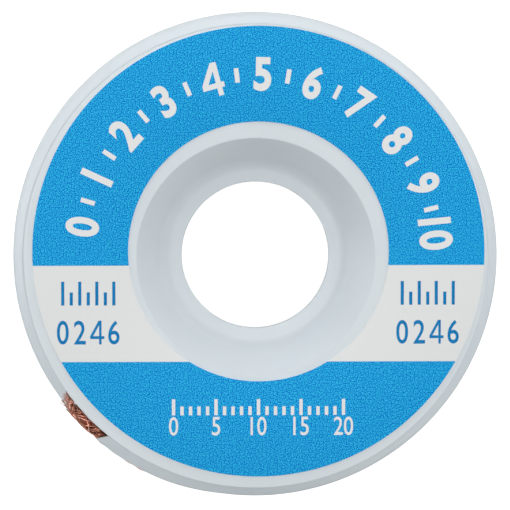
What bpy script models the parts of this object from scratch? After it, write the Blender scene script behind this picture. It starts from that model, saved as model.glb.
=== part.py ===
"""Reel of copper desoldering braid, lying on its back face with the label up.

A moulded cup (back plate, hub tube and outer rim) is closed by a thin lid with
a dished centre. The braid is wound on the hub, and its cut end comes out
through a mouth in the rim. The origin is on the resting face, on the axis.
Lengths are in metres and angles in degrees, counter-clockwise from +X.
"""

from math import asin, atan2, cos, hypot, pi, radians, sin, tan

import bmesh
import bpy

# Overall sizes
outer_r = 0.0285
reel_height = 0.0080
round_steps = 96

# Moulded plastic
plate_wall = 0.0010
rim_wall = 0.0015
hub_wall = 0.0012
seat_gap = 0.0003
band_width = 0.00119
band_drop = 0.0006
side_drop = 0.0005
shoulder_inset = 0.0003
rim_ledge = 0.0001

# Dished centre
bore_r = 0.00864
dish_foot_r = 0.0099
dish_r = 0.0140
dish_depth = 0.0030
dish_fillet = 0.0022
dish_wall = 0.0010
back_lip = 0.0004

# Label
label_thickness = 0.00015
label_glue = 0.0001
label_outer_margin = 0.00076
label_inner_margin = 0.00132
label_shift_x = 0.00040
label_shift_y = 0.00065

# Braid
braid_width = 0.0030
braid_thickness = 0.0007
winding_room = 0.00226
tail_end_thickness = 0.0010
tail_trim = 0.00005
tail_leave_angle = 285.0
tail_settle_angle = 240.0
tail_end_angle = 217.6

# Mouth in the rim
mouth_start_angle = 216.6
mouth_end_angle = 230.9
mouth_skew = 2.2
slit_end_angle = 261.0
arc_step = 3.0

# Radii and heights that follow
face_r = outer_r - band_width
rim_inner_r = outer_r - rim_wall
lid_bottom_z = reel_height - plate_wall
rim_top_z = lid_bottom_z - seat_gap
dish_floor_z = reel_height - dish_depth
mid_z = (plate_wall + lid_bottom_z) / 2
label_z = reel_height + label_glue

# The dish wall is the line from the lip that just touches the foot fillet
fillet_z = dish_floor_z + dish_fillet
lip_distance = hypot(dish_r - dish_foot_r, reel_height - fillet_z)
lip_direction = atan2(reel_height - fillet_z, dish_r - dish_foot_r)
dish_slope = lip_direction + asin(dish_fillet / lip_distance)

# The underside of the dish plugs into the hub tube
under_fillet = dish_fillet + dish_wall
under_touch_r = dish_foot_r + under_fillet * sin(dish_slope)
under_touch_z = fillet_z - under_fillet * cos(dish_slope)
plug_r = under_touch_r + (lid_bottom_z - under_touch_z) / tan(dish_slope)
hub_inner_r = plug_r + seat_gap
hub_outer_r = hub_inner_r + hub_wall
winding_inner_r = hub_outer_r + seat_gap
winding_outer_r = rim_inner_r - winding_room


def collection(name):
    """A new collection, linked to the scene."""
    made = bpy.data.collections.new(name)
    bpy.context.scene.collection.children.link(made)
    return made


def material(name, colour, roughness, metallic):
    """A plain Principled material."""
    made = bpy.data.materials.new(name)
    made.use_nodes = True
    shader = made.node_tree.nodes["Principled BSDF"]
    shader.inputs["Base Color"].default_value = (*colour, 1.0)
    shader.inputs["Roughness"].default_value = roughness
    shader.inputs["Metallic"].default_value = metallic
    return made


def place(name, mesh, home, look):
    """An object of this mesh in its collection, with its material if it has one."""
    if look is not None:
        mesh.materials.append(look)
    obj = bpy.data.objects.new(name, mesh)
    home.objects.link(obj)
    return obj


def arc(centre_r, centre_z, radius, start, end, pieces):
    """Points (r, z) on an arc of a profile, with angles in radians."""
    turn = (end - start) / pieces
    steps = [start + turn * i for i in range(pieces + 1)]
    return [(centre_r + radius * cos(a), centre_z + radius * sin(a)) for a in steps]


def turned(name, profile, home, look, centre=(0.0, 0.0)):
    """A closed profile of (r, z) points, turned round the upright axis through centre."""
    mesh = bpy.data.meshes.new(name)
    points = [(r, 0.0, z) for r, z in profile]
    edges = [(i, (i + 1) % len(points)) for i in range(len(points))]
    mesh.from_pydata(points, edges, [])
    obj = place(name, mesh, home, look)
    obj.location = (*centre, 0.0)
    screw = obj.modifiers.new("Turn", "SCREW")
    screw.axis = "Z"
    screw.steps = round_steps
    screw.render_steps = round_steps
    screw.use_merge_vertices = True
    screw.merge_threshold = 0.000001
    screw.use_smooth_shade = True
    return obj


def slab(name, outline, bottom, top, home, look):
    """A flat outline of (x, y) points, made solid between two heights."""
    curve = bpy.data.curves.new(name, "CURVE")
    curve.dimensions = "2D"
    curve.fill_mode = "BOTH"
    curve.extrude = (top - bottom) / 2
    spline = curve.splines.new("POLY")
    spline.points.add(len(outline) - 1)
    for point, (x, y) in zip(spline.points, outline):
        point.co = (x, y, 0.0, 1.0)
    spline.use_cyclic_u = True
    guide = bpy.data.objects.new(name + "_outline", curve)
    guide.location.z = (top + bottom) / 2
    home.objects.link(guide)
    bpy.context.view_layer.update()
    evaluated = guide.evaluated_get(bpy.context.evaluated_depsgraph_get())
    mesh = bpy.data.meshes.new_from_object(evaluated)
    body = bmesh.new()
    body.from_mesh(mesh)
    bmesh.ops.remove_doubles(body, verts=body.verts, dist=0.000001)
    bmesh.ops.recalc_face_normals(body, faces=body.faces)
    body.to_mesh(mesh)
    body.free()
    obj = place(name, mesh, home, look)
    obj.matrix_world = guide.matrix_world
    bpy.data.objects.remove(guide)
    return obj


def hide(obj):
    """Show a cutter or a joined shape as wire only."""
    obj.hide_render = True
    obj.display_type = "WIRE"


def combine(obj, other, operation):
    """Cut a hidden shape out of a piece, or join it on."""
    boolean = obj.modifiers.new(other.name, "BOOLEAN")
    boolean.operation = operation
    boolean.solver = "EXACT"
    boolean.object = other
    hide(other)


def polar(radius, angle):
    """The point (x, y) at this radius and angle in degrees."""
    return radius * cos(radians(angle)), radius * sin(radians(angle))


def angles(start, end):
    """Even angles from start to end, about arc_step apart."""
    pieces = max(2, round(abs(end - start) / arc_step))
    return [start + (end - start) * i / pieces for i in range(pieces + 1)]


def sector(inner, outer, start, end, skew=0.0):
    """Outline of a ring sector whose end is slanted by skew degrees at the outside."""
    outside = [polar(outer, a) for a in angles(start, end - skew)]
    inside = [polar(inner, a) for a in angles(end, start)]
    return outside + inside


def tail_centre(angle):
    """Radius of the tail's middle, easing from the winding out to the rim band."""
    share = (tail_leave_angle - angle) / (tail_leave_angle - tail_settle_angle)
    share = min(max(share, 0.0), 1.0)
    ease = share * share * (3.0 - 2.0 * share)
    start_r = winding_outer_r - braid_thickness
    end_r = (face_r + outer_r) / 2
    return start_r + (end_r - start_r) * ease


def tail_half(angle):
    """Half the tail's thickness, which swells towards the loose end."""
    share = (tail_leave_angle - angle) / (tail_leave_angle - tail_end_angle)
    return (braid_thickness + (tail_end_thickness - braid_thickness) * share) / 2


def lid(home, look):
    """The front flange: a thin disc whose centre is dished and bored."""
    touch = dish_slope - pi / 2
    under = arc(dish_foot_r, fillet_z, under_fillet, touch, -pi / 2, 5)
    floor = arc(dish_foot_r, fillet_z, dish_fillet, -pi / 2, touch, 5)
    profile = [(face_r, reel_height), (face_r, lid_bottom_z), (plug_r, lid_bottom_z)]
    profile += under
    profile += [(bore_r, dish_floor_z - dish_wall), (bore_r, dish_floor_z)]
    profile += floor
    profile += [(dish_r, reel_height)]
    return turned("front_flange", profile, home, look)


def cup(home, cutters, look):
    """The back shell: plate, hub tube and bevelled rim, with the mouth cut in the rim."""
    shoulder_r = outer_r - shoulder_inset
    band_z = rim_top_z - band_drop
    profile = [
        (face_r + rim_ledge, rim_top_z),
        (shoulder_r, band_z),
        (outer_r, band_z - side_drop),
        (outer_r, band_drop + side_drop),
        (shoulder_r, band_drop),
        (face_r + rim_ledge, 0.0),
        (hub_inner_r + back_lip, 0.0),
        (hub_inner_r, back_lip),
        (hub_inner_r, rim_top_z),
        (hub_outer_r, rim_top_z),
        (hub_outer_r, plate_wall),
        (rim_inner_r, plate_wall),
        (rim_inner_r, rim_top_z),
    ]
    shell = turned("back_shell", profile, home, look)
    inner = rim_inner_r - seat_gap
    outer = outer_r + rim_wall
    slit_bottom = mid_z - braid_width / 2 - seat_gap
    slit_top = mid_z + braid_width / 2 + seat_gap
    slit = sector(inner, outer, mouth_start_angle, slit_end_angle)
    combine(shell, slab("slit_cutter", slit, slit_bottom, slit_top, cutters, None), "DIFFERENCE")
    mouth = sector(inner, outer, mouth_start_angle, mouth_end_angle, mouth_skew)
    mouth_top = lid_bottom_z + plate_wall
    combine(shell, slab("mouth_cutter", mouth, mid_z, mouth_top, cutters, None), "DIFFERENCE")
    return shell


def label(home, look):
    """The printed paper ring, stuck on a little off the reel's centre."""
    inner = dish_r + label_inner_margin
    outer = face_r - label_outer_margin
    top = label_z + label_thickness
    profile = [(outer, top), (outer, label_z), (inner, label_z), (inner, top)]
    return turned("label", profile, home, look, (label_shift_x, label_shift_y))


def braid(home, cutters, look):
    """The winding as one ring, with the tail that leads out through the mouth."""
    bottom = mid_z - braid_width / 2
    top = mid_z + braid_width / 2
    ring = [
        (winding_outer_r, top),
        (winding_outer_r, bottom),
        (winding_inner_r, bottom),
        (winding_inner_r, top),
    ]
    winding = turned("braid", ring, home, look)
    route = angles(tail_leave_angle, tail_end_angle)
    outside = [polar(tail_centre(a) + tail_half(a), a) for a in route]
    inside = [polar(tail_centre(a) - tail_half(a), a) for a in reversed(route)]
    strip = slab("tail", outside + inside, bottom + tail_trim, top - tail_trim, cutters, None)
    combine(winding, strip, "UNION")
    return winding


def main():
    """Clear the scene and build the reel."""
    for obj in list(bpy.data.objects):
        bpy.data.objects.remove(obj)
    parts = collection("desoldering_braid_reel")
    cutters = collection("cutters")
    plastic = material("white_plastic", (0.66, 0.70, 0.74), 0.38, 0.0)
    printed = material("printed_paper", (0.02, 0.32, 0.68), 0.45, 0.0)
    copper = material("copper", (0.62, 0.24, 0.14), 0.35, 1.0)
    cup(parts, cutters, plastic)
    lid(parts, plastic)
    label(parts, printed)
    braid(parts, cutters, copper)


main()
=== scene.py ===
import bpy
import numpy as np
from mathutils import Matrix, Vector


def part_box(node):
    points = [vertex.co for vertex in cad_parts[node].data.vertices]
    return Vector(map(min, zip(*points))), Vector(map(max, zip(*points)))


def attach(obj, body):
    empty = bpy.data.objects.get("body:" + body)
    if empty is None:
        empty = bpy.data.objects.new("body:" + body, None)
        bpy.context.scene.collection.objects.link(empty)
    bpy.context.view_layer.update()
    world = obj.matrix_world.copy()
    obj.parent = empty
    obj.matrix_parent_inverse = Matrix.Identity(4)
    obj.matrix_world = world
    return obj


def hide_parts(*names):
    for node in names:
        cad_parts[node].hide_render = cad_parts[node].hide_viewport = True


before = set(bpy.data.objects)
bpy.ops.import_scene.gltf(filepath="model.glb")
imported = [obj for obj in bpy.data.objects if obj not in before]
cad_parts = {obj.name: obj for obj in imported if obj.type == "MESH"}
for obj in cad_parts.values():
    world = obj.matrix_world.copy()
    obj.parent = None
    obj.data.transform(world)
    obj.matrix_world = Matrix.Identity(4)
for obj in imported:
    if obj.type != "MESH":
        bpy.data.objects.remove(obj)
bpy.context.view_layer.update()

# Looks of the desoldering braid reel: a white moulded shell and lid, a printed
# ring, and woven copper wire. Lengths are in metres, and angles in degrees,
# counter-clockwise from +X, unless a comment says radians.

MM = 0.001

# Places that the solids give
lid_low, lid_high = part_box("front_flange")
_, shell_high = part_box("back_shell")
label_low, label_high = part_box("label")
braid_low, braid_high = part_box("braid")
face_r = lid_high.x
face_z = lid_high.z
rim_r = shell_high.x
rim_top = shell_high.z
braid_mid_z = (braid_low.z + braid_high.z) / 2

# Sizes repeated from the solids
plate_wall = 1.0 * MM
rim_wall = 1.5 * MM
hub_wall = 1.2 * MM
seat_gap = 0.3 * MM
band_drop = 0.6 * MM
side_drop = 0.5 * MM
shoulder_inset = 0.3 * MM
rim_ledge = 0.1 * MM
back_lip = 0.4 * MM
bore_r = 8.64 * MM
dish_foot_r = 9.9 * MM
dish_r = 14.0 * MM
dish_fillet = 2.2 * MM
dish_wall = 1.0 * MM
dish_floor_z = lid_low.z + dish_wall
label_hole_r = 15.32 * MM
winding_in = 16.19 * MM
winding_out = 24.74 * MM
braid_width = 3.0 * MM
braid_thickness = 0.7 * MM
tail_end_thickness = 1.0 * MM
tail_leave = 285.0
tail_settle = 240.0
tail_end = 217.6
mouth_start = 216.6
mouth_end = 230.9
mouth_skew = 2.2
slit_end = 261.0

# Finer sizes of the looks alone: the dish's floor falls to its bore, the lid's
# edge comes down to the rim, and the mouth's start slants across the rim, a
# slant that fades away from it as the one at its end does
floor_fall = 0.16 * MM
lid_clearance = 0.05 * MM
mouth_lean = 3.6
mouth_fade = 2.5

# The paper, a little wider than its solid and a little to its left, its white
# band measured from its own centre, and the marks printed on it
paper_thickness = 0.12 * MM
paper_z = face_z + 0.01 * MM
label_r = (label_high.x - label_low.x) / 2 + 0.04 * MM
label_mid = Vector((
    (label_high.x + label_low.x) / 2 - 0.08 * MM,
    (label_high.y + label_low.y) / 2,
    0.0,
))
band_top_y = -1.62 * MM
band_bottom_y = -12.98 * MM
print_blur = 0.03 * MM
ink_rise = 0.006 * MM

# The braid bends the rim's lip out over the slit, and bulges out of the slit
lip_push = 0.36 * MM
push_start, push_full, push_falls, push_end = 224.0, 231.0, 246.0, 270.0
wire_push = 0.12 * MM
wire_push_mid, wire_push_width = 244.0, 5.0

# The tail's half height inside the slit, how far it rises out of the mouth and over
# how many degrees, where it spreads, and from which angle on it lies under the lid
tail_half_high = braid_width / 2 - 0.05 * MM
tail_rise = 1.90 * MM
rise_turn = 4.0
spread_start, spread_full = 230.5, 228.0
under_lid_turn = 232.0
under_lid_room = 2.0 * MM

random_wear = np.random.default_rng(41)


# Curves

def bell(away):
    """Bell curve exp(-x^2)."""
    return np.exp(-away ** 2)


def reached(value, start, end):
    """How far a value has come from start to end, (v - a) / (b - a), held to 0 and 1."""
    return np.clip((value - start) / (end - start), 0, 1)


def smooth(value, start, end):
    """Smooth step from start to end: s^2 (3 - 2s), where s is how far the value has come."""
    share = reached(value, start, end)
    return share ** 2 * (3 - 2 * share)


# Meshes

def new_piece(name, points, faces, look, smooth_angle=35.0):
    """A mesh object at the origin from an array of points and a list of faces, with its looks
    and its body."""
    mesh = bpy.data.meshes.new(name)
    mesh.from_pydata(points.reshape(-1, 3), [], faces)
    mesh.shade_smooth()
    mesh.set_sharp_from_angle(angle=np.radians(smooth_angle))
    mesh.materials.append(look)
    obj = bpy.data.objects.new(name, mesh)
    bpy.context.scene.collection.objects.link(obj)
    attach(obj, "root")
    return obj


def rounded(corners, pieces):
    """Closed profile through (r, z, cut) corners: each corner becomes the parabola
    (1-t)^2 A + 2t(1-t) P + t^2 B, where A and B lie cut away from P on its two sides."""
    table = np.array(corners, float)
    here, cut = table[:, :2], table[:, 2:]
    before = np.roll(here, 1, axis=0) - here
    after = np.roll(here, -1, axis=0) - here
    start = here + before / np.linalg.norm(before, axis=1, keepdims=True) * cut
    end = here + after / np.linalg.norm(after, axis=1, keepdims=True) * cut
    t = np.linspace(0.0, 1.0, pieces)[None, :, None]
    bent = (1 - t) ** 2 * start[:, None] + 2 * t * (1 - t) * here[:, None] + t ** 2 * end[:, None]
    return bent.reshape(-1, 2)


def whole_turn(steps):
    """Even angles once round, in radians, as a column."""
    return np.linspace(0, 2 * np.pi, steps, endpoint=False)[:, None]


def ring_grid(radius, height, angle, centre=(0.0, 0.0)):
    """Points at radius and height, turned to each angle in radians: x = r cos a, y = r sin a,
    z = h, as whole arrays."""
    x = radius * np.cos(angle) + centre[0]
    y = radius * np.sin(angle) + centre[1]
    return np.stack([x, y, height + np.zeros_like(x)], axis=-1)


def grid_faces(rows, columns, wrap_rows=True):
    """Four-sided faces that join a grid of rows by columns. The columns close on themselves,
    and the rows do where they wrap."""
    last_row = rows if wrap_rows else rows - 1
    i, j = np.meshgrid(np.arange(last_row), np.arange(columns), indexing="ij")
    next_i, next_j = (i + 1) % rows, (j + 1) % columns
    corners = [
        i * columns + j,
        next_i * columns + j,
        next_i * columns + next_j,
        i * columns + next_j,
    ]
    return np.stack(corners, axis=-1)


def outward(faces):
    """A grid's faces as a list, each turned round, which faces a turned profile outwards."""
    return faces.reshape(-1, 4)[:, ::-1].tolist()


def bumps(angle, count, widest, highest):
    """Small random swellings along an edge: a sum of bell curves h exp(-(a - a0)^2 / w^2),
    with its angles in radians."""
    where = random_wear.uniform(0, 2 * np.pi, count)
    width = random_wear.uniform(0.25, 1.0, count) * widest
    height = random_wear.uniform(0.1, 1.0, count) ** 2 * highest
    away = (angle - where + np.pi) % (2 * np.pi) - np.pi
    return (height * bell(away / width)).sum(axis=1, keepdims=True)


# Nodes

def node(tree, kind, place, **settings):
    """One shader node at a place in its tree, with its settings given by name."""
    made = tree.nodes.new(kind)
    made.location = place
    for name, value in settings.items():
        setattr(made, name, value)
    return made


def maths(tree, place, operation, *values):
    """Result of one sum on plain numbers and on other nodes' results."""
    made = node(tree, "ShaderNodeMath", place, operation=operation)
    for socket, value in zip(made.inputs, values):
        if isinstance(value, float):
            socket.default_value = value
        else:
            tree.links.new(value, socket)
    return made.outputs[0]


def remap(tree, place, value, start, end, low=0.0, high=1.0, way="LINEAR"):
    """A value that runs from start to end, carried over to low and high and held there."""
    made = node(tree, "ShaderNodeMapRange", place, interpolation_type=way)
    made.inputs["From Min"].default_value = start
    made.inputs["From Max"].default_value = end
    made.inputs["To Min"].default_value = low
    made.inputs["To Max"].default_value = high
    tree.links.new(value, made.inputs["Value"])
    return made.outputs["Result"]


def blend(tree, place, factor, first, second):
    """Mix of two colours, plain ones or other nodes' results, by another node's value."""
    made = node(tree, "ShaderNodeMix", place, data_type="RGBA")
    for name, colour in (("A", first), ("B", second)):
        if isinstance(colour, tuple):
            made.inputs[name].default_value = (*colour, 1.0)
        else:
            tree.links.new(colour, made.inputs[name])
    tree.links.new(factor, made.inputs["Factor"])
    return made.outputs["Result"]


def skin_bump(tree, place, height, strength, depth, shader):
    """Shallow bump from another node's value, on the shader's normal."""
    made = node(tree, "ShaderNodeBump", place)
    made.inputs["Strength"].default_value = strength
    made.inputs["Distance"].default_value = depth
    tree.links.new(height, made.inputs["Height"])
    tree.links.new(made.outputs["Normal"], shader.inputs["Normal"])


def blank_material(name):
    """A material with only a Principled shader, its node tree, and that shader."""
    made = bpy.data.materials.new(name)
    made.use_nodes = True
    return made, made.node_tree, made.node_tree.nodes["Principled BSDF"]


def speckle_group():
    """Fine speckle for every finish: a smooth grain, wide patches, and a stipple of bright dots,
    (0.6 + 0.4 c) (1 - smooth step of d), where d is the distance to a dot and c the dot's own
    random value."""
    patch_share = 0.07
    dot_reach = 0.50
    weakest, spread = 0.6, 0.4
    group = bpy.data.node_groups.new("fine_speckle", "ShaderNodeTree")
    size = group.interface.new_socket("Grain Size", in_out="INPUT", socket_type="NodeSocketFloat")
    size.default_value = 0.2 * MM
    for name in ("Grain", "Patches", "Dots"):
        group.interface.new_socket(name, in_out="OUTPUT", socket_type="NodeSocketFloat")
    inlet = node(group, "NodeGroupInput", (-900, 0))
    outlet = node(group, "NodeGroupOutput", (500, 0))
    coords = node(group, "ShaderNodeTexCoord", (-900, 250))
    scale = maths(group, (-700, 0), "DIVIDE", 1.0, inlet.outputs["Grain Size"])
    wide_scale = maths(group, (-700, -250), "MULTIPLY", scale, patch_share)
    fine = node(group, "ShaderNodeTexNoise", (-450, 200))
    fine.inputs["Detail"].default_value = 1.5
    fine.inputs["Roughness"].default_value = 0.7
    wide = node(group, "ShaderNodeTexNoise", (-450, -200))
    wide.inputs["Detail"].default_value = 2.0
    cells = node(group, "ShaderNodeTexVoronoi", (-450, 500), voronoi_dimensions="2D")
    cells.inputs["Randomness"].default_value = 0.70
    for texture, its_scale in ((fine, scale), (wide, wide_scale), (cells, scale)):
        group.links.new(coords.outputs["Object"], texture.inputs["Vector"])
        group.links.new(its_scale, texture.inputs["Scale"])
    own = node(group, "ShaderNodeSeparateColor", (-200, 600))
    group.links.new(cells.outputs["Color"], own.inputs["Color"])
    strong = maths(group, (0, 600), "MULTIPLY_ADD", own.outputs["Red"], spread, weakest)
    near = remap(group, (-200, 400), cells.outputs["Distance"], dot_reach, 0.0, way="SMOOTHSTEP")
    dots = maths(group, (200, 500), "MULTIPLY", strong, near)
    results = {"Grain": fine.outputs["Fac"], "Patches": wide.outputs["Fac"], "Dots": dots}
    for name, result in results.items():
        group.links.new(result, outlet.inputs[name])
    return group


speckle = speckle_group()


def speckled(tree, place, grain_size):
    """The fine speckle in a material, with grain of this size."""
    made = node(tree, "ShaderNodeGroup", place, node_tree=speckle)
    made.inputs["Grain Size"].default_value = grain_size
    return made


# Finishes

def white_plastic():
    """Cool white moulded plastic, a little see-through, with a fine matt skin."""
    made, tree, shader = blank_material("white_plastic")
    grain = speckled(tree, (-900, 0), 0.25 * MM)
    patches = grain.outputs["Patches"]
    tone = blend(tree, (-500, 200), patches, (0.665, 0.730, 0.770), (0.710, 0.770, 0.805))
    rough = remap(tree, (-500, -50), patches, 0.0, 1.0, 0.34, 0.50)
    tree.links.new(tone, shader.inputs["Base Color"])
    tree.links.new(rough, shader.inputs["Roughness"])
    skin_bump(tree, (-300, -300), grain.outputs["Grain"], 0.25, 0.01 * MM, shader)
    shader.inputs["Subsurface Weight"].default_value = 0.25
    shader.inputs["Subsurface Radius"].default_value = (1.0, 1.0, 1.0)
    shader.inputs["Subsurface Scale"].default_value = 0.6 * MM
    shader.inputs["IOR"].default_value = 1.49
    return made


def printed_paper():
    """Coated paper: blue print with fine speckle, left white in a straight band across it and
    at its cut edge."""
    made, tree, shader = blank_material("printed_paper")
    grain = speckled(tree, (-1200, 300), 0.160 * MM)
    dots = remap(tree, (-1000, 300), grain.outputs["Dots"], 0.0, 0.60)
    blue = blend(tree, (-750, 350), dots, (0.0, 0.210, 0.710), (0.056, 0.805, 1.000))
    white = blend(tree, (-750, 100), dots, (0.850, 0.870, 0.860), (0.880, 0.900, 0.895))
    coords = node(tree, "ShaderNodeTexCoord", (-1500, -200))
    centred = node(tree, "ShaderNodeMapping", (-1300, -200))
    centred.inputs["Location"].default_value = -label_mid
    tree.links.new(coords.outputs["Object"], centred.inputs["Vector"])
    split = node(tree, "ShaderNodeSeparateXYZ", (-1100, -200))
    tree.links.new(centred.outputs["Vector"], split.inputs["Vector"])
    # How far a point is from the band's middle line
    middle = (band_top_y + band_bottom_y) / 2
    half = (band_top_y - band_bottom_y) / 2
    off = maths(tree, (-900, -200), "SUBTRACT", split.outputs["Y"], middle)
    size = maths(tree, (-750, -200), "ABSOLUTE", off)
    in_band = remap(tree, (-600, -200), size, half + print_blur, half - print_blur)
    # How far it is from the ring's centre
    flat = node(tree, "ShaderNodeCombineXYZ", (-900, -450))
    tree.links.new(split.outputs["X"], flat.inputs["X"])
    tree.links.new(split.outputs["Y"], flat.inputs["Y"])
    far = node(tree, "ShaderNodeVectorMath", (-750, -450), operation="LENGTH")
    tree.links.new(flat.outputs["Vector"], far.inputs[0])
    edge_start, edge_full = label_r - 0.03 * MM, label_r - 0.01 * MM
    at_edge = remap(tree, (-600, -450), far.outputs["Value"], edge_start, edge_full)
    unprinted = maths(tree, (-400, -300), "MAXIMUM", in_band, at_edge)
    colour = blend(tree, (-250, 200), unprinted, blue, white)
    tree.links.new(colour, shader.inputs["Base Color"])
    skin_bump(tree, (-250, -500), grain.outputs["Grain"], 0.2, 0.006 * MM, shader)
    shader.inputs["Roughness"].default_value = 0.55
    shader.inputs["Specular IOR Level"].default_value = 0.05
    return made


def off_white_ink():
    """Unprinted paper that shows through the blue as marks."""
    made, tree, shader = blank_material("off_white_ink")
    grain = speckled(tree, (-700, 100), 0.30 * MM).outputs["Grain"]
    tone = blend(tree, (-400, 200), grain, (0.770, 0.780, 0.775), (0.840, 0.850, 0.845))
    tree.links.new(tone, shader.inputs["Base Color"])
    shader.inputs["Roughness"].default_value = 0.45
    return made


def blue_ink():
    """The same print as the ring's, for the marks on its white band, where it looks darker."""
    made, tree, shader = blank_material("blue_ink")
    dots = speckled(tree, (-700, 100), 0.17 * MM).outputs["Dots"]
    tone = blend(tree, (-400, 200), dots, (0.0, 0.165, 0.460), (0.020, 0.460, 0.850))
    tree.links.new(tone, shader.inputs["Base Color"])
    shader.inputs["Roughness"].default_value = 0.55
    shader.inputs["Specular IOR Level"].default_value = 0.1
    return made


def copper_wire():
    """Drawn copper wire: each wire's tone runs from brown through bright pink to a pale tone
    on the frayed ends. Part of it is the wire's own, brown at random where air has dulled it,
    and part is painted shade and painted light: darker where the weave takes a wire under the
    others, lighter where it rides over them."""
    made, tree, shader = blank_material("copper_wire")
    grain = speckled(tree, (-1100, 0), 0.30 * MM).outputs["Grain"]
    own = node(tree, "ShaderNodeAttribute", (-1100, 250), attribute_name="wire_tone_and_shade")
    mixed = maths(tree, (-900, 150), "MULTIPLY_ADD", grain, 0.9, own.outputs["Fac"])
    bright = remap(tree, (-700, 150), mixed, 0.35, 1.35)
    tone = blend(tree, (-450, 200), bright, (0.120, 0.025, 0.014), (0.820, 0.350, 0.240))
    # Pale where the tone runs highest, as on the frayed ends
    pale_share = remap(tree, (-700, 420), mixed, 1.50, 2.40)
    colour = blend(tree, (-250, 250), pale_share, tone, (0.95, 0.850, 0.790))
    rough = remap(tree, (-450, -100), bright, 0.0, 1.0, 0.46, 0.28)
    tree.links.new(colour, shader.inputs["Base Color"])
    tree.links.new(rough, shader.inputs["Roughness"])
    shader.inputs["Metallic"].default_value = 0.75
    return made


plastic = white_plastic()
paper = printed_paper()
white_marks = off_white_ink()
blue_marks = blue_ink()
copper = copper_wire()


# Lid

def dish_slope():
    """Slope of the dish wall, in radians: the line from the lip that just touches the fillet."""
    across = dish_r - dish_foot_r
    up = face_z - dish_floor_z - dish_fillet
    return np.arctan2(up, across) + np.arcsin(dish_fillet / np.hypot(across, up))


def lid():
    """The dished lid: a rounded profile turned once round. Its outer edge is moved out by the
    burrs b left by its mould, r + b exp(-((r - R) / w)^2), and the fine line that runs round
    the dish above its fillet is highest at the near side."""
    slope = dish_slope()
    reach = dish_fillet * np.tan(slope / 2)
    under_reach = (dish_fillet + dish_wall) * np.tan(slope / 2)
    foot_r = dish_foot_r + reach
    under_r = dish_foot_r + under_reach
    under_z = dish_floor_z - dish_wall
    lid_bottom = rim_top + lid_clearance
    plug_r = under_r + (lid_bottom - under_z) / np.tan(slope)
    line_up = reach + 0.03 * MM
    line_r = foot_r + line_up * np.cos(slope)
    line_z = dish_floor_z + line_up * np.sin(slope)
    profile = rounded([
        (face_r, face_z, 0.12 * MM),
        (face_r, lid_bottom, 0.07 * MM),
        (plug_r, lid_bottom, 0.10 * MM),
        (under_r, under_z, under_reach),
        (bore_r, under_z, 0.12 * MM),
        (bore_r, dish_floor_z - floor_fall, 0.10 * MM),
        (foot_r, dish_floor_z, reach),
        (line_r, line_z, 0.015 * MM),
        (line_r + 0.004 * MM, line_z + 0.020 * MM, 0.010 * MM),
        (dish_r, face_z, 0.10 * MM),
    ], 9)
    radius, height = profile.T
    steps = 720
    angle = whole_turn(steps)
    turn = np.degrees(angle)

    # Fine burrs all round, and three at the mouth: angle, width in degrees, and size
    burr = bumps(angle, 90, 0.012, 0.05 * MM)
    mouth_burrs = (
        (224.2, 0.22, 0.16 * MM),
        (219.0, 0.18, 0.15 * MM),
        (231.3, 0.30, 0.06 * MM),
    )
    for place, width, size in mouth_burrs:
        burr = burr + size * bell((turn - place) / width)
    edge_width, line_width = 0.05 * MM, 0.03 * MM
    line_mid, line_spread, line_rise = 263.0, 13.0, 0.02 * MM
    near_edge = bell((radius - face_r) / edge_width) * (height > face_z - 0.3 * MM)
    line = line_rise * bell((turn - line_mid) / line_spread)
    at_line = bell((radius - line_r) / line_width) * (height > dish_floor_z)
    points = ring_grid(radius + burr * near_edge, height + line * at_line, angle)
    faces = outward(grid_faces(steps, len(profile)))
    piece = new_piece("lid", points, faces, plastic)
    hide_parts("front_flange")


# Shell

def pushed_out(angle):
    """How far the braid bends the rim's lip out: a smooth step up and a smooth step down along
    the slit, multiplied."""
    rise = smooth(angle, push_start, push_full)
    fall = smooth(angle, push_end, push_falls)
    return lip_push * rise * fall


def with_levels(profile, low, high, wall_r):
    """The profile with a point added at each of two heights, on the outer side and on the inner
    wall, and the columns of the four new points in the order they come."""
    clear, close = 0.2 * MM, 0.01 * MM
    points = [tuple(p) for p in profile]
    levels = [high, low, low, high]
    columns = []
    result = []
    for (r, z), (next_r, next_z) in zip(points, points[1:] + points[:1]):
        result.append((r, z))
        outer_side = min(r, next_r) > wall_r + clear
        inner_side = max(abs(r - wall_r), abs(next_r - wall_r)) < close
        while len(columns) < 4:
            level = levels[len(columns)]
            on_side = outer_side if len(columns) < 2 else inner_side
            if not on_side or (z - level) * (next_z - level) >= 0:
                break
            share = (level - z) / (next_z - z)
            columns.append(len(result))
            result.append((r + (next_r - r) * share, level))
    return np.array(result), columns


def angles_with_stops(stops, step):
    """Angles once round, in radians and about step degrees apart, that pass exactly through
    the stops, and the stops' rows."""
    ends = list(stops[1:]) + [stops[0] + 360.0]
    runs = []
    rows = []
    for start, end in zip(stops, ends):
        rows.append(sum(len(run) for run in runs))
        count = max(2, round((end - start) / step))
        runs.append(np.linspace(start, end, count, endpoint=False))
    return np.radians(np.concatenate(runs)), rows


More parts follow.
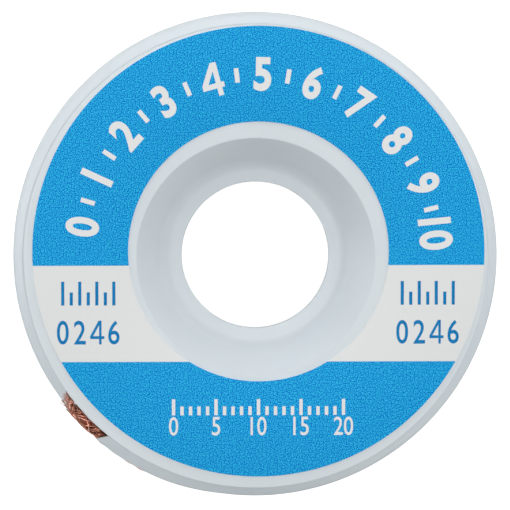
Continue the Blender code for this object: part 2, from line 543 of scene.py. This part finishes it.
def shell():
    """The cup: a rounded profile turned once round, with the slit and the mouth left out of its
    rim and closed by walls. The two ends of the mouth are turned by a share of their slant that
    grows outwards and fades as exp(-(a / w)^2) away from them."""
    slope = dish_slope()
    under_r = dish_foot_r + (dish_fillet + dish_wall) * np.tan(slope / 2)
    plug_r = under_r + (face_z - plate_wall - dish_floor_z + dish_wall) / np.tan(slope)
    hub_in = plug_r + seat_gap
    hub_out = hub_in + hub_wall
    band_z = rim_top - band_drop
    rim_in = rim_r - rim_wall
    slit_low = braid_mid_z - braid_width / 2 - seat_gap
    slit_high = braid_mid_z + braid_width / 2 + seat_gap
    outer_cut, inner_cut, top_cut = 0.20 * MM, 0.25 * MM, 0.07 * MM
    outline = rounded([
        (face_r + rim_ledge, rim_top, 0.10 * MM),
        (rim_r - shoulder_inset, band_z, outer_cut),
        (rim_r, band_z - side_drop, outer_cut),
        (rim_r, band_drop + side_drop, outer_cut),
        (rim_r - shoulder_inset, band_drop, outer_cut),
        (face_r + rim_ledge, 0.0, outer_cut),
        (hub_in + back_lip, 0.0, 0.15 * MM),
        (hub_in, back_lip, 0.15 * MM),
        (hub_in, rim_top, top_cut),
        (hub_out, rim_top, top_cut),
        (hub_out, plate_wall, inner_cut),
        (rim_in, plate_wall, inner_cut),
        (rim_in, rim_top, top_cut),
    ], 6)
    profile, level_columns = with_levels(outline, slit_low, slit_high, rim_in)
    out_high, out_low, in_low, in_high = level_columns
    angle, rows = angles_with_stops([mouth_start, mouth_end, slit_end], 0.5)
    start_row, nose_row, end_row = rows
    count = len(profile)
    column = np.arange(count)
    row = np.arange(len(angle))[:, None]
    angle = angle[:, None]
    fade = np.radians(mouth_fade)
    out_share = np.clip((profile[:, 0] - face_r) / (rim_r - face_r), -1.5, 1.0)
    rim_share = np.clip(out_share, 0, 1)

    # The nose of the lip slants one way, and the mouth's start leans the other way
    over_slit = (column >= in_high) | (column <= out_high)
    past_nose = bell((angle - angle[nose_row]) / fade) * (row >= nose_row)
    beside = (column >= in_low) | (column <= out_low)
    behind = (angle[start_row] - angle) % (2 * np.pi)
    before_start = bell(behind / fade) * ((row == start_row) | (row > end_row))
    turn = angle - np.radians(mouth_skew) * past_nose * (out_share * over_slit)
    turn = turn + np.radians(mouth_lean) * before_start * (rim_share * beside)
    radius = profile[:, 0] + pushed_out(np.degrees(angle)) * (rim_share * (column <= out_high))
    points = ring_grid(radius, profile[:, 1], turn)

    # Faces left out, and the walls that close the cut round
    in_slit = (row >= start_row) & (row < end_row)
    in_mouth = (row >= start_row) & (row < nose_row)
    outer_wall = (column >= out_high) & (column < out_low)
    inner_wall = (column >= in_low) & (column < in_high)
    crown = (column >= in_high) | (column < out_high)
    gone = (in_slit & (outer_wall | inner_wall)) | (in_mouth & crown)
    kept = outward(grid_faces(len(angle), count)[~gone])
    at = lambda r, c: r * count + c
    for r in range(start_row, end_row):
        kept.append([at(r, out_low), at(r + 1, out_low), at(r + 1, in_low), at(r, in_low)])
        if r >= nose_row:
            kept.append([at(r, in_high), at(r + 1, in_high), at(r + 1, out_high), at(r, out_high)])
    nose_wall = list(range(in_high, count)) + list(range(0, out_high + 1))
    start_wall = list(range(in_low, count)) + list(range(0, out_low + 1))
    end_wall = list(range(out_high, out_low + 1)) + list(range(in_low, in_high + 1))
    kept.append([at(nose_row, c) for c in reversed(nose_wall)])
    kept.append([at(start_row, c) for c in start_wall])
    kept.append([at(end_row, c) for c in reversed(end_wall)])
    piece = new_piece("shell", points, kept, plastic)
    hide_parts("back_shell")


# Label

def label():
    """The paper ring: a thin rounded profile turned once round the label's own centre."""
    top = paper_z + paper_thickness
    profile = rounded([
        (label_r, top, 0.03 * MM),
        (label_r, paper_z, 0.02 * MM),
        (label_hole_r, paper_z, 0.02 * MM),
        (label_hole_r, top, 0.03 * MM),
    ], 4)
    steps = 480
    points = ring_grid(profile[:, 0], profile[:, 1], whole_turn(steps), label_mid)
    faces = outward(grid_faces(steps, len(profile)))
    piece = new_piece("label_ring", points, faces, paper)
    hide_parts("label")


# Printed marks

def glyphs(text, height, squeeze, swell):
    """The outline of a line of figures as flat faces: the font's curves, swollen by an offset,
    made a mesh, then scaled to this height, squeezed across, and centred on the origin."""
    curve = bpy.data.curves.new("figures", "FONT")
    curve.body = text
    curve.size = 1.0
    curve.offset = swell
    curve.resolution_u = 6
    guide = bpy.data.objects.new("figures", curve)
    bpy.context.scene.collection.objects.link(guide)
    bpy.context.view_layer.update()
    evaluated = guide.evaluated_get(bpy.context.evaluated_depsgraph_get())
    flat = bpy.data.meshes.new_from_object(evaluated)
    points = np.empty(len(flat.vertices) * 3)
    flat.vertices.foreach_get("co", points)
    faces = [list(face.vertices) for face in flat.polygons]
    bpy.data.objects.remove(guide)
    bpy.data.meshes.remove(flat)
    points = points.reshape(-1, 3)[:, :2]
    low, high = points.min(axis=0), points.max(axis=0)
    points = (points - (low + high) / 2) / (high[1] - low[1])
    return points * [height * squeeze, height], faces


def four(height, squeeze, stroke):
    """A plain open 4 as flat faces: slanted stroke, stem, crossbar and its end, in shares of its
    height. The slanted stroke's inner side is its outer side moved in by the stroke, p + s n."""
    left, stem, right = -0.36, 0.12, 0.40
    foot, top = -0.27, 0.5
    bar_top = foot + 0.9 * stroke
    tip = stem - 0.03
    edge = stem + stroke
    run, climb = tip - left, top - bar_top
    inner_left = left + stroke * np.hypot(run, climb) / climb
    inner_top = bar_top + (stem - inner_left) * climb / run
    points = np.array([
        (left, foot), (left, bar_top), (inner_left, bar_top), (stem, bar_top), (stem, inner_top),
        (tip, top), (stem, top), (edge, top), (edge, bar_top), (right, bar_top), (right, foot),
        (edge, foot), (edge, -top), (stem, -top), (stem, foot),
    ])
    slant, stem_face = [1, 2, 4, 6, 5], [13, 12, 11, 8, 7, 6, 4, 3, 14]
    crossbar, bar_end = [0, 14, 3, 2, 1], [11, 10, 9, 8]
    return points * [height * squeeze, height], [slant, stem_face, crossbar, bar_end]


def bar(width, height):
    """A plain upright stroke, centred on the origin."""
    half = np.array([width, height]) / 2
    return np.array([[-1, -1], [1, -1], [1, 1], [-1, 1]]) * half, [[0, 1, 2, 3]]


def marks(name, shapes, look):
    """Printed shapes as one piece just above the paper: each is turned by an angle,
    q = (x cos a - y sin a, x sin a + y cos a), and moved to its place, measured from the
    label's centre."""
    points, faces = [], []
    total = 0
    for (flat, polygons), place, turn in shapes:
        a = np.radians(turn)
        turned = flat @ np.array([[np.cos(a), np.sin(a)], [-np.sin(a), np.cos(a)]])
        points.append(turned + place)
        faces += [[total + corner for corner in polygon] for polygon in polygons]
        total += len(flat)
    height = paper_z + paper_thickness + ink_rise
    solid = np.column_stack([np.concatenate(points) + label_mid.xy, np.full(total, height)])
    new_piece(name, solid, faces, look)


def dial_numbers():
    """Plain numbers on an arc over the bore, as on a dial: 0 to 10, each square to its radius,
    with a tick between each two."""
    numbers = range(11)
    turns = np.linspace(171.8, 5.6, len(numbers))
    middle_r = 20.9 * MM
    tall, squeeze = 4.0 * MM, 0.86
    spot = lambda turn: (middle_r * np.cos(np.radians(turn)), middle_r * np.sin(np.radians(turn)))
    shapes = []
    for number, turn in zip(numbers, turns):
        if number == 4:
            figure = four(tall, squeeze, 0.175)
        else:
            figure = glyphs(str(number), tall, squeeze, 0.036)
        shapes.append((figure, spot(turn), turn - 90.0))
    for turn in (turns[1:] + turns[:-1]) / 2:
        shapes.append((bar(0.55 * MM, 1.7 * MM), spot(turn), turn - 90.0))
    marks("dial_numbers", shapes, white_marks)


def ruler(left, length, foot, tick, figure_y, figure_height, every, line):
    """A plain millimetre ruler as shapes: ticks a millimetre apart, taller at each numbered one,
    with the figures under them."""
    squeeze = 0.78
    low_share = 0.55
    shapes = []
    for i in range(length + 1):
        x = left + i * MM
        numbered = i % every == 0
        tall = tick if numbered else tick * low_share
        shapes.append((bar(line, tall), (x, foot + tall / 2), 0.0))
        if numbered:
            if i == 4:
                figure = four(figure_height, squeeze, 0.13)
            else:
                figure = glyphs(str(i), figure_height, squeeze, 0.008)
            shapes.append((figure, (x, figure_y), 0.0))
    return shapes


def rulers():
    """Rulers in millimetres: one in white under the bore, and two short ones in blue on the
    white band."""
    lower = ruler(-10.0 * MM, 20, foot=-19.3 * MM, tick=1.9 * MM, figure_y=-20.6 * MM,
                  figure_height=2.2 * MM, every=5, line=0.40 * MM)
    marks("lower_ruler", lower, white_marks)
    side = []
    for start in (-23.0 * MM, 16.9 * MM):
        side += ruler(start, 6, foot=-6.3 * MM, tick=2.8 * MM, figure_y=-9.5 * MM,
                      figure_height=2.8 * MM, every=2, line=0.37 * MM)
    marks("band_rulers", side, blue_marks)


# Braid

def wires_out(angle):
    """How far the wires stand out of the slit: a little past the lip that they bend, and most
    near its middle."""
    return 1.2 * pushed_out(angle) + wire_push * bell((angle - wire_push_mid) / wire_push_width)


def tail_route(angle):
    """Radius of the tail's middle, and half its thickness. It eases from the winding out to the
    rim as the solid does, and swells in the mouth."""
    ease = smooth(angle, tail_leave, tail_settle)
    start = winding_out - braid_thickness
    middle = start + ((face_r + rim_r) / 2 - start) * ease
    swell = (tail_leave - angle) / (tail_leave - tail_end)
    half = (braid_thickness + (tail_end_thickness - braid_thickness) * swell) / 2
    spread = reached(angle, spread_start, spread_full)
    out = middle + half + (0.05 * ease + 0.30 * spread) * MM + wires_out(angle) * (1 - spread)
    inner = middle - half - (0.03 * ease + 0.25 * spread) * MM
    return (out + inner) / 2, (out - inner) / 2


def lifted(angle, radius):
    """How far the tail rises out of the mouth: a smooth step up past the slanted nose of the
    rim's lip, where a point counts as further along the more it lies outwards."""
    past = angle + mouth_skew * reached(radius, face_r, rim_r)
    return tail_rise * smooth(past, mouth_end, mouth_end - rise_turn)


def section(u, half_thick, half_high):
    """Point and outward direction on the tail's section, at a share u of its way round: the
    superellipse |x/a|^4 + |y/b|^4 = 1, with its angle found from length along a typical section
    by a table."""
    typical_thick, typical_high = 0.45 * MM, 1.35 * MM
    q = np.linspace(0, 2 * np.pi, 721)
    curve = lambda v: np.sign(v) * np.abs(v) ** 0.5
    table = np.stack([typical_thick * curve(np.cos(q)), typical_high * curve(np.sin(q))])
    way = np.concatenate([[0.0], np.cumsum(np.hypot(*np.diff(table, axis=1)))])
    turn = np.interp(u % 1.0, way / way[-1], q)
    across, up = curve(np.cos(turn)), curve(np.sin(turn))
    out_a, out_u = across ** 3 / half_thick, up ** 3 / half_high
    size = np.hypot(out_a, out_u)
    return across * half_thick, up * half_high, out_a / size, out_u / size


def frames(centre, out):
    """Directions across a wire: side = along x out, then out again = side x along, all of
    length one."""
    along = np.gradient(centre, axis=1)
    along /= np.linalg.norm(along, axis=-1, keepdims=True)
    side = np.cross(along, out)
    side /= np.linalg.norm(side, axis=-1, keepdims=True)
    return side, np.cross(side, along)


def paint(piece, tones):
    """Stores the tone of each point of a copper piece, painted shade included, which its material
    reads.
    """
    store = piece.data.attributes.new("wire_tone_and_shade", "FLOAT", "POINT")
    store.data.foreach_set("value", np.ascontiguousarray(tones, dtype=np.float32))


def tubes(name, centre, out, thick, tones):
    """Wires as five-sided tubes: round each centre line of an array (wires, steps, 3), the
    points c + r (cos q side + sin q out), with each wire's two ends closed by a face, and its
    tone at its points."""
    sides = 5
    wires, steps, _ = centre.shape
    side, out = frames(centre, out)
    q = np.arange(sides) * 2 * np.pi / sides
    ring = np.cos(q)[:, None] * side[:, :, None] + np.sin(q)[:, None] * out[:, :, None]
    points = centre[:, :, None] + thick[:, :, None, None] * ring
    first = np.arange(wires)[:, None] * steps * sides
    base = grid_faces(steps, sides, wrap_rows=False).reshape(-1, 4)
    faces = (base[None] + first[:, None]).reshape(-1, 4).tolist()
    ends = np.arange(sides)[None]
    last = first + (steps - 1) * sides
    caps = np.concatenate([ends + first, ends[:, ::-1] + last]).tolist()
    piece = new_piece(name, points, faces + caps, copper, smooth_angle=80.0)
    paint(piece, np.repeat(tones, sides, axis=1).ravel())


def braid_tail():
    """The free end of the braid: carriers wound both ways round a flat tube, each two over and
    two under, each a ribbon of parallel wires. Share round the section u = k/N + d s/L + w,
    lift = h cos(pi/2 (2k + 2 d N s/L) - pi/4). The weave is pulled long half way through the
    mouth, and the wires part towards the cut end."""
    carriers, ribbon = 4, 5
    wires = carriers * ribbon
    wire_r = 0.082 * MM
    weave = 0.14 * MM
    revolution = 7.2 * MM
    along_r = 27.6 * MM
    ribbon_step, ribbon_parting = 0.048, 0.006
    longest_gap = 3.2
    from_angle, seen_angle, to_angle = 284.0, 264.0, 216.6
    pull_share, pull_mid, pull_width = 0.60, 223.6, 2.6
    hidden = np.linspace(from_angle, seen_angle, 56)[:-1]
    angle = np.concatenate([hidden, np.linspace(seen_angle, to_angle, 260)])
    pull = 1 - pull_share * bell((angle - pull_mid) / pull_width)
    steps_along = -np.diff(np.radians(angle)) * (pull[1:] + pull[:-1]) / 2
    way = np.concatenate([[0.0], np.cumsum(steps_along)]) * along_r
    draw = random_wear.uniform
    vary = random_wear.normal
    one = (wires, 1)
    k = np.repeat(np.arange(carriers), ribbon)[:, None]
    w = np.tile(np.arange(ribbon) - (ribbon - 1) / 2, carriers)[:, None]
    centres, outs, thicks, tones = [], [], [], []
    for direction in (1.0, -1.0):
        # Each wire ends a little short of the longest, in degrees
        short = draw(0.0, 1.0, one) ** 1.4 * longest_gap
        whole = from_angle - to_angle
        turn = from_angle + (angle - from_angle) * (whole - short) / whole
        phase = np.interp(-turn, -angle, way) / revolution
        middle, half_thick = tail_route(turn)
        loose = reached(turn, 222.5, 217.5)
        untidy = reached(turn, 233.0, 225.0)

        # Each wire's share round the section, and how far the weave lifts it
        drift = vary(0, 0.014, one) * np.sin(phase * 5.3 + k + draw(0, 3, one))
        drift = drift * (0.5 + untidy + 1.5 * loose)
        u = k / carriers + direction * phase + w * (ribbon_step + ribbon_parting * loose)
        u = u + drift
        beat = np.pi / 2 * (2 * k + direction * 2 * carriers * phase) - np.pi / 4
        bunch = vary(0, 0.035, one) * MM * (0.5 + untidy)
        lift = direction * weave * np.cos(beat) + bunch * np.sin(phase * 7.1 + 2 * k + 3 * w)
        shrink = weave + wire_r
        across, up, out_a, out_u = section(u, half_thick - shrink, tail_half_high - shrink)
        fray = loose ** 2 * MM
        across = across + out_a * lift + vary(0, 0.10, one) * fray
        up = up + out_u * lift + vary(0.10, 0.22, one) * fray

        # Its place, held between the lid's edge and the rim's outside
        level = braid_mid_z + lifted(turn, middle + across) + up
        level = np.minimum(level, face_z + 0.1 * MM)
        past = turn + mouth_skew * reached(middle + across, face_r, rim_r)
        in_mouth = np.clip(mouth_end - past, 0, 1)
        inside = face_r + 0.02 * MM + wire_r - under_lid_room * (turn > under_lid_turn)
        outside = rim_r - wire_r + 0.30 * MM * in_mouth + wires_out(turn) * (1 - in_mouth)
        under_rim = reached(level, rim_top - 0.3 * MM, rim_top - 0.7 * MM)
        behind_wall = under_rim * reached(turn, 221.8, 220.3)
        radius = np.clip(middle + across, inside, outside - 0.4 * MM * behind_wall)
        a = np.radians(turn)
        centres.append(ring_grid(radius, level, a))
        outs.append(ring_grid(out_a, out_u, a))
        thicks.append(wire_r * (1 - 0.45 * loose))
        # Each wire's tone: its own at random, plus painted shade and painted light from the weave's
        # lift, darker where it goes under the others and lighter where it rides over; it varies
        # more on the loose ends
        own = draw(-0.1, 0.9, one) + 0.15 * np.sin(phase * 11.0 + 5 * w)
        tones.append(own + 0.45 * lift / weave + draw(-0.4, 1.8, one) * loose)
    joined = (np.concatenate(parts) for parts in (centres, outs, thicks, tones))
    tubes("braid_tail", *joined)


def braid_core():
    """The tail's inner wires, seen only as a dark ground between the others: a flat tube inside
    the weave, with the section's superellipse, which narrows to a point under the loose ends.
    It is given the darkest tone, as painted shade."""
    steps, sides = 150, 24
    tip_turn = 219.4
    turn = np.linspace(283.0, tip_turn, steps)[:, None]
    u = np.linspace(0, 1, sides, endpoint=False)[None]
    middle, half_thick = tail_route(turn)
    narrow = 0.02 + 0.98 * reached(turn, tip_turn, tip_turn + 3.0) ** 0.5
    thick, high = (half_thick - 0.34 * MM) * narrow, (tail_half_high - 0.40 * MM) * narrow
    across, up, _, _ = section(u, thick, high)
    inside = face_r + 0.10 * MM - under_lid_room * (turn > under_lid_turn)
    radius = np.maximum(middle + across, inside)
    level = braid_mid_z + lifted(turn, middle + across) + up
    points = ring_grid(radius, level, np.radians(turn))
    faces = outward(grid_faces(steps, sides, wrap_rows=False))
    first = list(range(sides))
    faces += [first[::-1], [(steps - 1) * sides + corner for corner in first]]
    piece = new_piece("braid_core", points, faces, copper)
    # Painted shade: the inner wires are given the darkest tone
    paint(piece, np.full(steps * sides, -0.4))


def loose_ends():
    """Wires that have come out of the braid's cut end and lie over the rim: each runs on from
    the braid to its tip along a bowed line, p = a + (b - a) t + bow t (1 - t), just above the
    rim's slope, thinner to its tip."""
    count, steps = 40, 14
    one = (count, 1)
    draw = random_wear.uniform
    vary = random_wear.normal
    t = np.linspace(0, 1, steps)[None, :]
    pick = draw(0, 1, one)
    row = (np.arange(count)[:, None] + 0.5) / count
    start_turn = 218.7 + 2.2 * row + 0.6 * draw(-1, 1, one)
    start_r = face_r + (0.10 + 0.95 * row) * MM + 0.08 * MM * vary(0, 1, one)
    end_turn = 215.7 + 1.5 * row + draw(-0.5, 1.3, one)
    end_r = start_r + vary(0.05, 0.16, one) * MM
    bow = vary(0, 0.4, one) * 0.45 * MM
    turn = start_turn + (end_turn - start_turn) * t
    radius = start_r + (end_r - start_r) * t + bow * t * (1 - t)
    radius = np.clip(radius, face_r + 0.08 * MM, rim_r + 0.06 * MM)
    slope_start, slope_end = face_r + rim_ledge, rim_r - shoulder_inset
    down = np.clip((radius - slope_start) / (slope_end - slope_start), 0, 1.2)
    floor = rim_top - band_drop * down
    height = floor + (0.06 + 0.45 * pick * np.sin(np.pi * (0.25 + 0.70 * t))) * MM
    centre = ring_grid(radius, height, np.radians(turn))
    up = np.zeros_like(centre)
    up[..., 2] = 1.0
    thick = np.repeat(0.046 * MM * (1 - 0.35 * t), count, axis=0)
    tone = np.repeat(draw(-0.3, 2.1, one), steps, axis=1)
    tubes("braid_loose_ends", centre, up, thick, tone)


def winding():
    """The wound turns: a ring whose two ends rise and fall once for each turn, and whose outer
    face carries the weave's diamonds,
    height = h cos(2 pi (s/p + z/q)) cos(2 pi (s/p - z/q))."""
    turns, diamonds = 12, 144
    rows = 22
    steps = 5 * diamonds
    half = braid_width / 2 - 0.03 * MM
    ridge_high, diamond_high, diamond_up = 0.10 * MM, 0.05 * MM, 1.0 * MM
    share = np.linspace(0, 1, turns * 4 + 1)
    ridge = ridge_high * (np.abs(np.sin(np.pi * turns * share)) - 1)
    end_r = winding_in + (winding_out - winding_in) * share
    down = np.linspace(half, -half, rows)[1:-1]
    radius = np.concatenate([end_r, np.full(rows - 2, winding_out), end_r[::-1]])
    height = np.concatenate([half + ridge, down, -half - ridge[::-1]])
    angle = whole_turn(steps)
    along = angle * diamonds / (2 * np.pi)
    up = height / diamond_up
    diamond = np.cos(2 * np.pi * (along + up)) * np.cos(2 * np.pi * (along - up))
    on_face = (radius > winding_out - 0.01 * MM) & (np.abs(height) < half)
    grown = radius + on_face * (diamond - 1) * diamond_high
    points = ring_grid(grown, braid_mid_z + height, angle)
    faces = outward(grid_faces(steps, len(radius)))
    piece = new_piece("braid_winding", points, faces, copper)
    paint(piece, np.full(points.size // 3, 0.2))
    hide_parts("braid")


# Studio

def soft_light(name, turn, lift, away, size, power):
    """A square soft light that faces the reel from a direction: turn round it, and lift above
    the floor."""
    lamp = bpy.data.lights.new(name, "AREA")
    lamp.shape = "SQUARE"
    lamp.size = size
    lamp.energy = power
    lit = bpy.data.objects.new(name, lamp)
    bpy.context.scene.collection.objects.link(lit)
    a, b = np.radians(turn), np.radians(lift)
    lit.location = Vector((np.cos(b) * np.cos(a), np.cos(b) * np.sin(a), np.sin(b))) * away
    lit.rotation_euler = (-lit.location).to_track_quat("-Z", "Y").to_euler()


def studio():
    """A plain white floor, a soft light overhead, and soft lights round the table that leave
    the near side dimmer."""
    half = 1.5
    corners = [(-half, -half, 0), (half, -half, 0), (half, half, 0), (-half, half, 0)]
    mesh = bpy.data.meshes.new("floor")
    mesh.from_pydata(corners, [], [(0, 1, 2, 3)])
    floor = bpy.data.objects.new("floor", mesh)
    bpy.context.scene.collection.objects.link(floor)
    made, tree, shader = blank_material("floor_white")
    shader.inputs["Base Color"].default_value = (0.86, 0.86, 0.86, 1.0)
    shader.inputs["Roughness"].default_value = 0.9
    shader.inputs["Emission Color"].default_value = (1.0, 1.0, 1.0, 1.0)
    seen = node(tree, "ShaderNodeLightPath", (-500, 0)).outputs["Is Camera Ray"]
    glow = maths(tree, (-300, 0), "MULTIPLY", seen, 0.75)
    tree.links.new(glow, shader.inputs["Emission Strength"])
    mesh.materials.append(made)
    world = bpy.data.worlds.new("surround")
    bpy.context.scene.world = world
    world.use_nodes = True
    sky = world.node_tree.nodes["Background"]
    sky.inputs["Color"].default_value = (0.97, 0.985, 1.0, 1.0)
    sky.inputs["Strength"].default_value = 0.04
    soft_light("top_light", 90.0, 89.5, 1.2, 0.40, 6.95)
    low_powers = {0: 0.10, 30: 0.30, 60: 0.45, 90: 0.50, 120: 0.47, 150: 0.16, 180: 0.97, 300: 0.50}
    high_powers = {0: 0.20, 30: 0.48, 150: 0.33}
    for turn, power in low_powers.items():
        soft_light(f"low_light_{turn}", turn, 12.0, 0.6, 0.30, power)
    for turn, power in high_powers.items():
        soft_light(f"high_light_{turn}", turn, 32.0, 0.6, 0.30, power)


def camera():
    """Nearly straight above the face, a little to its far side and to its left, through a long
    lens. The face's radius and the place of its middle are given in the picture's pixels."""
    frame_pixels = 510
    face_pixels = 232.5
    face_across, face_down = 0.8, 2.1
    distance = 0.90
    lean_back, lean_left = np.radians(5.0), np.radians(1.5)
    sensor = 36.0
    pixel = face_r / face_pixels
    target = Vector((-face_across * pixel, face_down * pixel, face_z))
    away = Vector((-np.sin(lean_left), np.sin(lean_back), 1.0)).normalized()
    right = Vector((0.0, 1.0, 0.0)).cross(away).normalized()
    data = bpy.data.cameras.new("camera")
    data.sensor_width = sensor
    data.lens = sensor * distance / (frame_pixels * pixel)
    data.clip_start = 0.01
    data.clip_end = 10.0
    eye = bpy.data.objects.new("camera", data)
    bpy.context.scene.collection.objects.link(eye)
    eye.location = target + away * distance
    eye.rotation_euler = Matrix((right, away.cross(right), away)).transposed().to_euler()
    bpy.context.scene.camera = eye


bpy.context.scene.view_settings.view_transform = "Standard"
studio()
camera()
shell()
lid()
label()
dial_numbers()
rulers()
winding()
braid_tail()
braid_core()
loose_ends()
